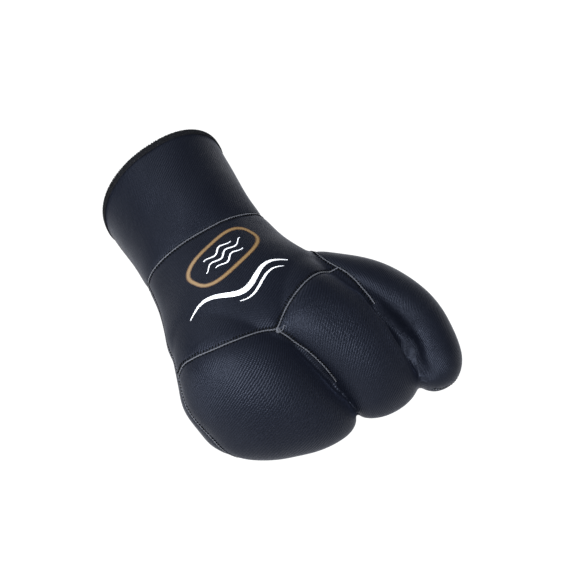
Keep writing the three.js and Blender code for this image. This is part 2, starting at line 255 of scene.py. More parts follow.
# Points round a section at the given angles: a squarish ellipse
def ringPoints(section, angle):
    c, s = np.cos(angle), np.sin(angle)
    bend = 2 / section["power"]
    dent = section["dent"](angle) if section["dent"] else 0
    x = (section["halfWidth"] - dent) * np.sign(c) * np.abs(c) ** bend
    z = section["halfHeight"] * np.sign(s) * np.abs(s) ** bend
    return section["centre"] + x[:, None] * section["side"] + z[:, None] * section["up"]


# Soft tips settle on the floor: what would sink below it is pressed up and rounded
def settle(points, sink):
    height = mitt["settleHeight"]
    swell = (height + sink) / height
    depth = (height - points[:, 2]) / (height + sink)
    pressed = height * (1 - swell * depth + (swell - 1) * depth ** 2)
    points[:, 2] = np.where(points[:, 2] > height, points[:, 2], pressed)
    return points


def addMesh(name, points, faces):
    mesh = bpy.data.meshes.new(name)
    mesh.from_pydata([tuple(p) for p in points], [], faces)
    mesh.validate()
    piece = bpy.data.objects.new(name, mesh)
    bpy.context.scene.collection.objects.link(piece)
    return piece


# Faces between rings of points; closed where the last ring joins the first
def ringFaces(count, width, closed=False):
    faces = []
    for i in range(count if closed else count - 1):
        onward = (i + 1) % count
        for k in range(width):
            after = (k + 1) % width
            faces.append((i * width + k, i * width + after,
                          onward * width + after, onward * width + k))
    return faces


# A closed skin through rings of points, with a fan at each end
def loft(sections, sink):
    sides = skin["sides"]
    angles = turn * np.arange(sides) / sides
    rings = [ringPoints(section, angles) for section in sections]
    ends = np.array([sections[0]["centre"], sections[-1]["centre"]], float)
    points = settle(np.concatenate(rings + [ends]), sink)
    faces = ringFaces(len(rings), sides)
    first = len(rings) * sides
    lastRing = first - sides
    for k in range(sides):
        following = (k + 1) % sides
        faces.append((first, following, k))
        faces.append((first + 1, lastRing + k, lastRing + following))
    return points, faces, len(rings)


handAt = tableReader(handTable)


def handSection(y, wall, shrink=1):
    side, width, height, handLevel, roll, tilt, yaw = handAt(min(rimY, max(0, y)))
    drop = max(0, -y) * mitt["noseDrop"]
    r, t, w = roll * degree, tilt * degree, yaw * degree
    across = np.array([math.cos(r) * math.cos(w), math.sin(w), math.sin(r) * math.cos(w)])
    up = np.array([-math.cos(t) * math.sin(r), math.sin(t), math.cos(t) * math.cos(r)])
    centre = np.array([side, y, handLevel - drop])
    return sectionOf(mitt, centre, across, up, (width, height), wall, shrink)


def handSections(wall, steps=70, noseSteps=12):
    sections = [handSection(rimY + mitt["neoprene"], wall)] if wall else []
    sections += [handSection(rimY * (1 - i / steps), wall) for i in range(steps + 1)]
    for i in range(1, noseSteps + 1):
        angle = 84 * degree * i / noseSteps
        reach = (mitt["noseLength"] - wall) * math.sin(angle)
        sections.append(handSection(-reach, wall, math.cos(angle) ** 0.6))
    return sections


# A pocket's stations: even steps, then closer ones round the tip
def stationsOf(body, steps=56, tipSteps=16):
    stations = [(body * i / steps, 1) for i in range(steps + 1)]
    for i in range(1, tipSteps + 1):
        angle = math.pi / 2 * i / (tipSteps + 0.35)
        stations.append((body + (1 - body) * math.sin(angle), math.cos(angle) ** 0.8))
    return stations


# Walks along an arc that curls down from the hand
def curledAt(pocket, place, steps=40):
    pitch = mitt["pocketPitch"] * degree
    curl = pocket["curl"] * degree
    angles = pitch + curl * place * (np.arange(steps) + 0.5) / steps
    stride = pocket["length"] * place / steps
    centre = np.array([0, 0.3 * backL, level], float)
    centre[1] -= np.cos(angles).sum() * stride
    centre[2] -= np.sin(angles).sum() * stride
    return centre, pitch + curl * place


def pocketSections(pocket, wall):
    read = tableReader(pocket["rows"])
    sections = []
    for at, tip in stationsOf(pocket["body"]):
        place = at * (1 - wall / pocket["length"])
        sideways, width, height, leanShare = read(place)
        centre, angle = curledAt(pocket, place)
        centre[0] += sideways * palmW
        lean = leanShare * pocket["lean"] * degree
        fold = pocket.get("fold")
        dent = None
        if fold:
            share = min(1, max(0, (at - fold["start"]) / fold["reach"]))
            depth = fold["depth"] * math.sin(math.pi * share) * tip

            def dent(angles, depth=depth):
                off = (angles - fold["turn"] * degree + math.pi) % turn - math.pi
                return depth * bell(off, fold["spread"])
        side = np.array([math.cos(lean), -math.sin(lean), 0])
        up = np.array([-math.sin(angle) * math.sin(lean), -math.sin(angle) * math.cos(lean),
                       math.cos(angle)])
        size = (width * pocket["width"], height * pocket["height"])
        sections.append(sectionOf(pocket, centre, side, up, size, wall, tip, dent))
    return sections


thumbPoints = splineThrough(
    [(x * thumb["reach"], y * thumb["forward"], z * thumb["rootLevel"])
     for x, y, z in thumb["line"]], 280, True)
thumbRun = runAlong(thumbPoints)
thumb["length"] = thumbRun[-1]


def thumbPlace(share):
    run = share * thumb["length"]
    return np.array([np.interp(run, thumbRun, thumbPoints[:, axis]) for axis in range(3)])


def thumbSections(wall):
    read = tableReader(thumb["rows"])
    sections = []
    for at, tip in stationsOf(thumb["body"]):
        place = at * (1 - wall / thumb["length"])
        width, height = read(place)
        along = thumbPlace(min(1, place + 0.01)) - thumbPlace(max(0, place - 0.01))
        along /= np.linalg.norm(along)
        side = -np.cross(along, (0, 0, 1))
        side /= np.linalg.norm(side)
        size = (width * thumb["width"], height * thumb["height"])
        sections.append(sectionOf(thumb, thumbPlace(place), side, np.cross(along, side), size,
                                  wall, tip))
    return sections


# The four forms, each as its sections and how far it sinks into the floor
def gloveForms(wall, index=indexFinger):
    return {
        "hand": (handSections(wall), 0),
        "three": (pocketSections(threeFingers, wall), threeFingers["sink"]),
        "index": (pocketSections(index, wall), index["sink"]),
        "thumb": (thumbSections(wall), thumb["sink"]),
    }


# A spline through points given as shares of the palm's width and the back's length
def palmLine(steps, *points):
    return splineThrough([(x * palmW, y * backL) for x, y in points], steps)


# Seam lines of the solid model, as flat lines in the drawing frame
seamLines = {
    "thumb": palmLine(
        60, (0.6, 0.85), (0.455, 0.46), (0.42, 0.2), (0.465, -0.06), (0.495, -0.28),
        (0.53, -0.46), (0.575, -0.64), (0.592, -0.84), (0.56, -1.05), (0.54, -1.9)),
    "divider": palmLine(
        54, (-0.12, 0.1), (0.013, -0.245), (0.053, -0.35), (0.09, -0.48), (0.115, -0.62),
        (0.135, -0.8), (0.155, -1.05), (0.17, -1.9)),
    "knuckle": np.concatenate([
        palmLine(32, (0.9, 0.02), (0.44, 0.03), (0.29, 0.015), (0.155, -0.055), (0.04, -0.145),
                 (-0.047, -0.245)),
        palmLine(32, (-0.047, -0.245), (-0.12, -0.2), (-0.245, -0.18), (-0.395, -0.135),
                 (-0.5, -0.065), (-0.56, -0.02), (-0.9, 0.1))[1:],
    ]),
}
dividerLevel, dividerLean = 30, -0.2
fingerCrotchY, thumbCrotchY = -0.62 * backL, -0.42 * backL
far = 400

# The side seam runs at mid height from the wrist and down round the fingertips, as (y, z)
sideLine = [(share * backL, handAt(min(share * backL, wristY))[3])
            for share in (1.4, 1.2, 1, 0.8, 0.6, 0.4)]
for step in range(15):
    centre, _ = curledAt(threeFingers, step / 14)
    sideLine.append((centre[1], centre[2]))
sideLine.append((sideLine[-1][0] - 0.1 * backL, -far))
seamLines["side"] = np.array(sideLine)
thumbSideLine = [(1.5 * backL, thumb["rootLevel"])]
thumbSideLine += [tuple(thumbPlace(step / 12)[1:]) for step in range(13)]
thumbSideLine += [(-1.4 * thumb["forward"], 0.1 * thumb["rootLevel"]),
                  (-3 * thumb["forward"], 0.1 * thumb["rootLevel"])]
seamLines["thumbSide"] = np.array(thumbSideLine)


# Distance of flat points from a line, positive on the left of its direction
def sideOf(points, line):
    best = np.full(len(points), 1e9)
    sign = np.ones(len(points))
    for a, b in zip(line[:-1], line[1:]):
        ab = b - a
        t = np.clip(((points - a) @ ab) / (ab @ ab), 0, 1)
        gap = points - (a + t[:, None] * ab)
        distance = np.hypot(gap[:, 0], gap[:, 1])
        cross = ab[0] * (points[:, 1] - a[1]) - ab[1] * (points[:, 0] - a[0])
        closer = distance < best - 1e-9
        best[closer] = distance[closer]
        sign[closer] = np.sign(cross[closer])
    return best * sign


# How far points in space lie from each seam's wall; each is positive on one side
def wallFields(points):
    leaning = points[:, :2].copy()
    leaning[:, 0] -= dividerLean * (points[:, 2] - dividerLevel)
    return {
        "wrist": points[:, 1] - wristY,
        "thumb": sideOf(points[:, :2], seamLines["thumb"]),
        "divider": sideOf(leaning, seamLines["divider"]),
        "knuckle": sideOf(points[:, :2], seamLines["knuckle"]),
        "back": -sideOf(points[:, 1:], seamLines["side"]),
        "thumbBack": -sideOf(points[:, 1:], seamLines["thumbSide"]),
    }


# Which side of the other walls each seam is sewn on
seamRegions = {
    "wrist": {},
    "thumb": {"wrist": -1},
    "back": {"wrist": -1, "thumb": -1},
    "knuckle": {"wrist": -1, "thumb": -1, "back": 1},
    "divider": {"wrist": -1, "thumb": -1, "back": 1, "knuckle": 1},
    "thumbBack": {"wrist": -1, "thumb": 1},
}


# One value of every item of a mesh, as an array
def readAll(items, attribute, kind=np.int32, width=1):
    values = np.empty(len(items) * width, kind)
    items.foreach_get(attribute, values)
    return values.reshape(-1, width) if width > 1 else values


def pointsOf(piece):
    return readAll(piece.data.vertices, "co", np.float32, 3).astype(float)


def normalsOf(piece):
    return readAll(piece.data.vertex_normals, "vector", np.float32, 3).astype(float)


def setPoints(piece, points):
    piece.data.vertices.foreach_set("co", points.astype(np.float32).ravel())
    piece.data.update()


def choose(piece):
    bpy.ops.object.select_all(action="DESELECT")
    piece.select_set(True)
    bpy.context.view_layer.objects.active = piece


def applyModifier(piece, kind, **settings):
    choose(piece)
    modifier = piece.modifiers.new(kind.lower(), kind)
    for name, value in settings.items():
        setattr(modifier, name, value)
    bpy.ops.object.modifier_apply(modifier=modifier.name)


def soften(piece, rounds, factor=0.5, group=""):
    applyModifier(piece, "SMOOTH", factor=factor, iterations=rounds, vertex_group=group)


def remesh(piece, voxel):
    applyModifier(piece, "REMESH", mode="VOXEL", voxel_size=voxel * mm, use_smooth_shade=True)


# Turns the faces outward, and splits them into triangles if asked
def turnOutward(piece, triangles=False):
    work = bmesh.new()
    work.from_mesh(piece.data)
    if triangles:
        bmesh.ops.triangulate(work, faces=work.faces)
    bmesh.ops.recalc_face_normals(work, faces=work.faces)
    work.to_mesh(piece.data)
    work.free()


def joined(pieces, name):
    choose(pieces[0])
    for piece in pieces:
        piece.select_set(True)
    bpy.ops.object.join()
    pieces[0].name = name
    return pieces[0]


# A closed prism between two flat lines, as deep as the world along its axis
def prism(edge, away, axis="z"):
    count = len(edge)
    corners = []
    for height in (-far, far):
        corners += [(p[0], p[1], height) for p in edge]
        corners += [(p[0], p[1], height) for p in away]
    faces = []
    top = 2 * count
    for i in range(count - 1):
        a, b = i, i + 1
        c, d = count + i + 1, count + i
        faces += [(a, b, c, d), (top + d, top + c, top + b, top + a)]
        faces += [(b, a, top + a, top + b), (d, c, top + c, top + d)]
    faces.append((0, count, top + count, top))
    last = count - 1
    faces.append((count + last, last, top + last, top + count + last))
    corners = np.array(corners, float)
    if axis == "x":
        corners = corners[:, [2, 0, 1]]
    piece = addMesh("cutter", corners * mm, faces)
    turnOutward(piece, triangles=True)
    return piece


def offsetLine(line, distance):
    before = np.concatenate([line[:1], line[:-1]])
    after = np.concatenate([line[1:], line[-1:]])
    along = unitRows(after - before)
    return line + distance * np.stack([-along[:, 1], along[:, 0]], axis=1)


# The divider's wall leans over; the others stand upright
def leant(piece, name):
    if name == "divider":
        points = pointsOf(piece)
        points[:, 0] += dividerLean * (points[:, 2] - dividerLevel * mm)
        setPoints(piece, points)
    return piece


# Cuts along a flat line: the prism runs from the line to far away in one column
def sideCutter(edge, column, distance, axis="z"):
    away = edge.copy()
    away[:, column] = distance
    return prism(edge, away, axis)


def thumbSideOf(name, push):
    return leant(sideCutter(offsetLine(seamLines[name], push), 0, far), name)


def fingerSideOf(push):
    return sideCutter(offsetLine(seamLines["knuckle"], push), 1, -far)


def backSideOf(name, push):
    edge = offsetLine(seamLines[name], -push)
    edge = np.concatenate([edge, [(-far, edge[-1][1])]])
    return sideCutter(edge, 1, far, "x")


def behind(y):
    return sideCutter(np.array([(-far, y), (far, y)], float), 1, far)


# Both sides of a seam's wall, from the crotch to past the tips
def slab(name, reach, crotch):
    line = seamLines[name]
    cut = [p for p in line if p[1] < crotch]
    start = np.array([np.interp(-crotch, -line[:, 1], line[:, 0]), crotch])
    line = np.array([start] + cut)
    return leant(prism(offsetLine(line, reach), offsetLine(line, -reach)), name)


def combine(piece, cutter, how):
    applyModifier(piece, "BOOLEAN", object=cutter, operation=how, solver="MANIFOLD")
    bpy.data.objects.remove(cutter)
    return piece


def copyOf(piece, name):
    twin = piece.copy()
    twin.data = piece.data.copy()
    twin.name = name
    bpy.context.scene.collection.objects.link(twin)
    return twin


def cutCopy(piece, cutter, how, name="part"):
    return combine(copyOf(piece, name), cutter, how)


# The glove's skin: hand, pockets and thumb grown together, and parted at the clefts
def gloveSkin(name, wall, voxel, clefts=()):
    parts = []
    for part, (sections, sink) in gloveForms(wall).items():
        points, faces, _ = loft(sections, sink)
        parts.append(addMesh(part, points * mm, faces))
    body = joined(parts, name)
    remesh(body, voxel)
    for seam, reach, startY in clefts:
        combine(body, slab(seam, reach, startY), "DIFFERENCE")
        remesh(body, voxel)
    return body


# The pockets stand a little apart past their crotch; the thumb only touches its neighbour
clefts = [("divider", 1.1, -0.77 * backL)]
threadEnds = [("divider", 2.9, -0.77 * backL + 2.2), ("thumb", 3, -0.4 * backL)]
outer = gloveSkin("outer", 0, skin["voxel"], clefts)
soften(outer, skin["smoothing"])
places = pointsOf(outer) / mm
walls = wallFields(places)
edges = outer.vertex_groups.new(name="edges")
for seam, reach, startY in clefts:
    close = np.abs(walls[seam]) < reach + skin["edgeBand"]
    close &= places[:, 1] < startY + skin["edgeStart"]
    edges.add(np.nonzero(close)[0].tolist(), 1, "REPLACE")
soften(outer, skin["edgeSmoothing"], group="edges")
print("outer skin:", len(outer.data.vertices), "points")
inner = gloveSkin("inner", mitt["neoprene"], skin["innerVoxel"])
combine(inner, slab("divider", mitt["neoprene"], fingerCrotchY), "DIFFERENCE")
combine(inner, slab("thumb", mitt["neoprene"], thumbCrotchY), "DIFFERENCE")
innerPoints = pointsOf(inner)
innerPoints[:, 2] = np.maximum(innerPoints[:, 2], mitt["neoprene"] * mm)
setPoints(inner, innerPoints)
print("hollow:", len(inner.data.vertices), "points")


seamSpacing = 0.6
shortestSeam = 8
shortestRun = 14


# Lines where a wall meets the skin, chained from the crossings of its edges
def seamCurves(piece, fields, name):
    mesh = piece.data
    points = pointsOf(piece) / mm
    edges = readAll(mesh.edges, "vertices", width=2)
    value = fields[name]
    a, b = value[edges[:, 0]], value[edges[:, 1]]
    crossing = (a > 0) != (b > 0)
    for other, sign in seamRegions[name].items():
        field = fields[other] * sign
        crossing &= (field[edges[:, 0]] > -0.6) & (field[edges[:, 1]] > -0.6)
    share = np.where(crossing, a / np.where(crossing, a - b, 1), 0)
    places = points[edges[:, 0]] * (1 - share[:, None]) + points[edges[:, 1]] * share[:, None]
    loopEdges = readAll(mesh.loops, "edge_index")
    starts = readAll(mesh.polygons, "loop_start")
    totals = readAll(mesh.polygons, "loop_total")
    counts = np.add.reduceat(crossing[loopEdges].astype(int), starts)
    links = {}
    for face in np.nonzero(counts == 2)[0]:
        own = loopEdges[starts[face]:starts[face] + totals[face]]
        first, second = [int(edge) for edge in own if crossing[edge]]
        links.setdefault(first, []).append(second)
        links.setdefault(second, []).append(first)
    chains = []
    unused = set(links)
    ends = [edge for edge in links if len(links[edge]) == 1]
    for start in ends + sorted(links):
        if start not in unused:
            continue
        chain = [start]
        unused.discard(start)
        while True:
            onward = [edge for edge in links[chain[-1]] if edge in unused]
            if not onward:
                break
            chain.append(onward[0])
            unused.discard(onward[0])
        closed = len(chain) > 8 and chain[0] in links[chain[-1]]
        curve = places[chain]
        if closed:
            curve = np.concatenate([curve, curve[:1]])
        if runAlong(curve)[-1] > shortestSeam:
            chains.append((evened(curve, closed), closed))
    return chains


def smoothed(values, closed, rounds):
    values = np.array(values, float)
    for _ in range(rounds):
        middle = (values[:-2] + 2 * values[1:-1] + values[2:]) / 4
        if closed:
            joint = (values[-2] + 2 * values[0] + values[1]) / 4
            values[0] = joint
            values[-1] = joint
        values[1:-1] = middle
    return values


# Smooths a curve a little and spaces its points evenly
def evened(curve, closed, rounds=14):
    curve = smoothed(curve, closed, rounds)
    run = runAlong(curve)
    places = np.linspace(0, run[-1], max(8, int(run[-1] / seamSpacing)))
    return np.stack([np.interp(places, run, curve[:, axis]) for axis in range(3)], axis=1)


# The runs of a seam that aren't hidden between the pockets or beside the thumb
def outsideClefts(curve, closed):
    walls = wallFields(curve)
    hidden = np.zeros(len(curve), bool)
    for seam, reach, endY in threadEnds:
        hidden |= (np.abs(walls[seam]) < reach) & (curve[:, 1] < endY)
    if not hidden.any():
        return [(curve, closed)]
    if closed:
        first = int(np.nonzero(hidden)[0][0])
        curve = np.roll(curve[:-1], -first, axis=0)
        hidden = np.roll(hidden[:-1], -first)
    runs = []
    start = None
    for i, gone in enumerate(list(hidden) + [True]):
        if not gone and start is None:
            start = i
        if gone and start is not None:
            if i - start > shortestRun:
                runs.append((curve[start:i], False))
            start = None
    return runs


fields = wallFields(pointsOf(outer) / mm)
seams = {}
for name in seamRegions:
    seams[name] = []
    for curve, closed in seamCurves(outer, fields, name):
        seams[name] += outsideClefts(curve, closed)
for name, found in seams.items():
    lengths = [round(float(runAlong(curve)[-1])) for curve, _ in found]
    print("seam", name, lengths, "mm")


def treeOf(points):
    tree = KDTree(len(points))
    for i, point in enumerate(points):
        tree.insert(point, i)
    tree.balance()
    return tree


seamPoints = np.concatenate([curve for found in seams.values() for curve, _ in found])
seamTree = treeOf(seamPoints)


def seamDistance(points, reach=14):
    return np.array([min(seamTree.find(point)[2], reach) for point in points])


# How the skin is drawn in at the seams, and where it buckles. Each fade is a start and a span.
relief = {
    "grooveDepth": 1.35,
    "grooveWidth": 1.15,
    "pullDepth": 0.8,
    "pullWidth": 5,
    "gutterDepth": 2.4,
    "gutterWidth": 4,
    "thumbGutter": (-8, -18),
    "dividerGutter": (-44, -14),
    "dividerShare": 0.7,
    "valleyDepth": 1.7,
    "valleyWidth": 2.3,
    "valleyFade": (-28, -8),
    "valleyBand": (-9, 5),
    "valleyStart": -0.36 * backL,
    "pressBelow": 0.35,
    "pressedTo": 0.05,
    "pressShare": 0.85,
    "highFade": (24, 8),
    "upwardFade": (0.1, 0.5),
    "swell": 0.16,
    "waves": [((0.11, 0.05, 0.07), 0.4, 1), ((-0.06, 0.13, 0.04), 2.1, 1),
              ((0.19, -0.11, 0.09), 4.0, 0.6)],
}
# Low dents and swellings: x, y, z, radius and depth, in the drawing frame
buckles = [
    (-22, 108, 76, 17, 1.6), (-34, 96, 70, 12, -0.7), (6, 118, 84, 24, -0.8),
    (38, 96, 74, 16, 0.9), (-2, 66, 76, 14, 0.7), (34, 60, 74, 15, 0.8),
    (-36, 52, 74, 14, 0.6), (18, 18, 82, 20, -0.6), (-62, -20, 60, 16, -0.5),
    (6, -30, 72, 17, -1.2), (-28, -34, 70, 20, -1.0),
]
# The bent index finger's crease, from beside the thumb's root down to the fingertip
crease = {
    "line": splineThrough([
        (66.5, -17, 65), (63, -24, 63.5), (61.5, -31, 62.5), (62, -39, 60), (64.5, -47, 55),
        (65, -55, 51.5), (66, -62, 46.5), (68, -69, 39.5), (70.5, -75, 31.5), (72, -80, 23)],
        90, True),
    "depth": 6.2,
    "length": 17,
    "start": (-0.8, 2),
    "end": (25, -8),
    "lip": 1.1,
    "around": 26,
    "lipPlace": -3,
    "lipWidth": 3,
    "endWidth": 4,
    "offThumb": (0, -6),
    "pastThumb": (-26, -10),
    "atWall": (0.9, -2.4),
}


# The finger's second bend lies lower than its first, which swells over it
def creaseShift(points, thumbField, tree, normals):
    line = crease["line"]
    along = directions(line)
    facing = unitRows(smoothed([normals[tree.find(point)[1]] for point in line], False, 30))
    across = unitRows(np.cross(facing, along))
    lineTree = treeOf(line)
    shift = np.zeros((len(points), 3))
    low = line.min(axis=0) - crease["around"]
    high = line.max(axis=0) + crease["around"]
    near = ((points > low) & (points < high)).all(axis=1) & (thumbField < 1)
    for i in np.nonzero(near)[0]:
        k = lineTree.find(points[i])[1]
        off = float((points[i] - line[k]) @ across[k])
        beyond = float((points[i] - line[k]) @ along[k])
        part = math.sin(math.pi * min(1, max(0, (k + 2) / (len(line) + 3)))) ** 0.6
        lower = ramp(off, *crease["start"]) * bell(max(off, 0), crease["length"])
        lower *= ramp(off, *crease["end"])
        lip = bell(off - crease["lipPlace"], crease["lipWidth"])
        apart = max(ramp(thumbField[i], *crease["offThumb"]),
                    ramp(points[i][1], *crease["pastThumb"]))
        apart *= ramp(thumbField[i], *crease["atWall"])
        depth = crease["depth"] * lower - crease["lip"] * lip
        shift[i] = -facing[k] * part * bell(beyond, crease["endWidth"]) * apart * depth
    return shift


# How the plain skin shifts: slowly, which the hollow follows, and the depth of the fine grooves
def shiftsOf(points, normals, tree):
    distance = seamDistance(points)
    walls = wallFields(points)
    y = points[:, 1]
    slow = relief["pullDepth"] * bell(distance, relief["pullWidth"])
    upward = ramp(points[:, 2], *relief["highFade"]) * ramp(normals[:, 2], *relief["upwardFade"])
    atThumb = bell(walls["thumb"], relief["gutterWidth"]) * ramp(y, *relief["thumbGutter"])
    atDivider = bell(walls["divider"], relief["gutterWidth"]) * ramp(y, *relief["dividerGutter"])
    gutter = np.maximum(atThumb, relief["dividerShare"] * atDivider)
    slow += relief["gutterDepth"] * upward * gutter
    for x, y0, z, radius, dent in buckles:
        slow += dent * bell(np.linalg.norm(points - (x, y0, z), axis=1), radius)
    for pace, phase, share in relief["waves"]:
        slow += relief["swell"] * share * np.sin(points @ pace + phase)
    fine = relief["grooveDepth"] * bell(distance, relief["grooveWidth"])
    valley = bell(walls["thumb"], relief["valleyWidth"]) * upward
    fine += relief["valleyDepth"] * valley * ramp(y, *relief["valleyFade"])
    shift = creaseShift(points, walls["thumb"], tree, normals) - normals * slow[:, None]
    return shift, fine


flatPoints = pointsOf(outer) / mm
plain = copyOf(outer, "plain")
soften(plain, skin["normalSmoothing"])
outerNormals = normalsOf(plain)
bpy.data.objects.remove(plain)
outerTree = treeOf(flatPoints)
slowShift, fineDepth = shiftsOf(flatPoints, outerNormals, outerTree)
drawnPoints = flatPoints + slowShift - outerNormals * fineDepth[:, None]
sunk = drawnPoints[:, 2] < relief["pressBelow"]
pressed = relief["pressShare"] * np.maximum(drawnPoints[sunk, 2], 0)
drawnPoints[sunk, 2] = relief["pressedTo"] + pressed
setPoints(outer, drawnPoints * mm)
thumbWall = wallFields(flatPoints)["thumb"]
valley = outer.vertex_groups.new(name="valley")
nearest, farthest = relief["valleyBand"]
beside = (thumbWall > nearest) & (thumbWall < farthest)
beside &= flatPoints[:, 1] < relief["valleyStart"]
valley.add(np.nonzero(beside)[0].tolist(), 1, "REPLACE")
soften(outer, skin["valleySmoothing"], group="valley")
remesh(outer, skin["voxel"])
soften(outer, 2, factor=0.4)
drawnPoints = pointsOf(outer)
drawnPoints[:, 2] = np.maximum(drawnPoints[:, 2], skin["floorGap"] * mm)
setPoints(outer, drawnPoints)
innerPoints = pointsOf(inner) / mm
follow = np.array([outerTree.find(point)[1] for point in innerPoints])
above = innerPoints[:, 2] > mitt["neoprene"] + 0.5
innerPoints[above] += slowShift[follow][above]
innerPoints[:, 2] = np.maximum(innerPoints[:, 2], mitt["neoprene"])
setPoints(inner, innerPoints * mm)
print("skin drawn in at its seams")


outerOnly = copyOf(outer, "outer_only")
shell = combine(outer, inner, "DIFFERENCE")
half = skin["gap"] / 2
combine(shell, slab("divider", half, fingerCrotchY), "DIFFERENCE")
print("shell:", len(shell.data.polygons), "faces")

hand = cutCopy(shell, behind(wristY - half), "DIFFERENCE")
thumbShell = cutCopy(hand, thumbSideOf("thumb", half), "INTERSECT")
palmAndBacks = cutCopy(hand, thumbSideOf("thumb", -half), "DIFFERENCE")
backs = cutCopy(palmAndBacks, backSideOf("side", half), "INTERSECT")
pocketBacks = cutCopy(backs, fingerSideOf(half), "INTERSECT")
panelCuts = [
    ("cuff", shell, behind(wristY + half), "INTERSECT"),
    ("hand_back", backs, fingerSideOf(-half), "DIFFERENCE"),
    ("three_finger_back", pocketBacks, thumbSideOf("divider", -half), "DIFFERENCE"),
    ("index_back", pocketBacks, thumbSideOf("divider", half), "INTERSECT"),
    ("palm", palmAndBacks, backSideOf("side", -half), "DIFFERENCE"),
    ("thumb_upper", thumbShell, backSideOf("thumbSide", half), "INTERSECT"),
    ("thumb_lower", thumbShell, backSideOf("thumbSide", -half), "DIFFERENCE"),
]
panels = {name: cutCopy(piece, cutter, how, name + "_neoprene")
          for name, piece, cutter, how in panelCuts}
for spare in (shell, hand, thumbShell, palmAndBacks, backs, pocketBacks):
    bpy.data.objects.remove(spare)
print("panels cut:", {name: len(piece.data.polygons) for name, piece in panels.items()})


# Each panel gets a map of its cloth, in metres: round the glove's form and along it
def clothMap(piece, form):
    points, faces, rings = form
    sides = skin["sides"]
    points = points[:rings * sides]
    faces = faces[:(rings - 1) * sides]
    ringPart = points.reshape(rings, sides, 3)
    girth = np.linalg.norm(ringPart - np.roll(ringPart, 1, axis=1), axis=2).sum(axis=1)
    width = float(np.median(girth))
    run = runAlong(ringPart.mean(axis=1))
    tree = BVHTree.FromPolygons([Vector(p) for p in points], faces)
    places = pointsOf(piece) / mm
    u = np.empty(len(places))
    v = np.empty(len(places))
    for i, place in enumerate(places):
        spot, _, face, _ = tree.find_nearest(place)
        row, k = divmod(face, sides)
        a = points[faces[face][0]]
        across = points[faces[face][1]] - a
        along = points[faces[face][3]] - a
        off = np.array(spot) - a
        u[i] = (k + off @ across / max(across @ across, 1e-9)) * width / sides
        v[i] = run[row] + (off @ along / max(along @ along, 1e-9)) * (run[row + 1] - run[row])
    mesh = piece.data
    corners = readAll(mesh.loops, "vertex_index")
    starts = readAll(mesh.polygons, "loop_start")
    totals = readAll(mesh.polygons, "loop_total")
    cornerU = u[corners]
    top = np.repeat(np.maximum.reduceat(cornerU, starts), totals)
    cornerU = np.where(top - cornerU > width / 2, cornerU + width, cornerU)
    uv = np.stack([cornerU, v[corners]], axis=1).astype(np.float32)
    mesh.uv_layers.new(name="UVMap").data.foreach_set("uv", uv.ravel() * mm)
    closeness = bell(seamDistance(places, 8), skin["seamFade"])
    attribute = mesh.attributes.new("seamCloseness", "FLOAT", "POINT")
    attribute.data.foreach_set("value", closeness.astype(np.float32))


# The cloth of the index pocket is mapped on its form before it is folded
unfolded = {**indexFinger, "fold": None}
forms = {name: loft(sections, sink) for name, (sections, sink) in gloveForms(0, unfolded).items()}
formOf = {
    "cuff": "hand", "hand_back": "hand", "three_finger_back": "three", "index_back": "index",
    "palm": "three", "thumb_upper": "thumb", "thumb_lower": "thumb",
}
for name, piece in panels.items():
    clothMap(piece, forms[formOf[name]])
print("cloth mapped")


# Points and faces of a skin over rows of points, joined end to end or capped
def skinOver(rows, closed):
    rows = np.array(rows)
    count, width = rows.shape[:2]
    faces = ringFaces(count, width, closed)
    if not closed:
        faces.append(tuple(range(width))[::-1])
        faces.append(tuple(range((count - 1) * width, count * width)))
    return rows.reshape(-1, 3), faces


# A tube along a run of points; each ring has its own radius if radius is a list
def tubeMesh(path, radius, sides, closed=False):
    path = np.array(path, float)
    along = directions(path, closed)
    side = np.cross(along[0], (0.31, 0.52, 0.79))
    side /= np.linalg.norm(side)
    rings = []
    radii = np.full(len(path), radius) if np.isscalar(radius) else np.array(radius)
    angle = turn * np.arange(sides) / sides
    for i in range(len(path)):
        side = side - (side @ along[i]) * along[i]
        side /= np.linalg.norm(side)
        other = np.cross(along[i], side)
        ring = np.cos(angle)[:, None] * side + np.sin(angle)[:, None] * other
        rings.append(path[i] + radii[i] * ring)
    return skinOver(rings, closed)


# Collects many small meshes into one piece
class Heap:
    def __init__(self):
        self.points = []
        self.faces = []
        self.count = 0

    def add(self, points, faces):
        self.points.append(points)
        self.faces += [tuple(i + self.count for i in face) for face in faces]
        self.count += len(points)

    def piece(self, name):
        points = np.concatenate(self.points)
        points[:, 2] = np.maximum(points[:, 2], skin["floorGap"])
        return addMesh(name, points * mm, self.faces)


drawnTree = BVHTree.FromPolygons(
    [Vector(p) for p in pointsOf(outerOnly) / mm],
    [tuple(face.vertices) for face in outerOnly.data.polygons])

# Blind stitch over each seam: a pale cord in the groove, and ticks of thread beside it, near-black
# as painted shade for the gaps between the stitches
stitch = {
    "cordRadius": 0.5,
    "cordLift": 0.5,
    "cordSides": 7,
    "tickRadius": 0.42,
    "tickSides": 5,
    "pitch": 2.2,
    "reach": 2.3,
    "shortReach": 1.3,
    "slant": 0.3,
    "profile": [(0.12, 0.5), (0.35, 0.46), (0.6, 0.34), (0.82, 0.22), (1, -0.2)],
}
# The side on which each seam's longer ticks lie
longTicks = {
    "wrist": (0, -1, 0), "thumb": (-1, 0, 0), "back": (0, 0, 1), "knuckle": (0, 1, 0),
    "divider": (1, 0, 0), "thumbBack": (0, 0, 1),
}


def onSkin(place, lift):
    spot, normal, _, _ = drawnTree.find_nearest(place)
    return np.array(spot) + np.array(normal) * lift


# Height of the drawn skin over a place, along the plain skin's normal
def heightOver(place, normal, otherwise, above=3, reach=9):
    start = Vector(place + normal * above)
    spot, _, _, distance = drawnTree.ray_cast(start, Vector(-normal), reach)
    return otherwise if spot is None else above - distance


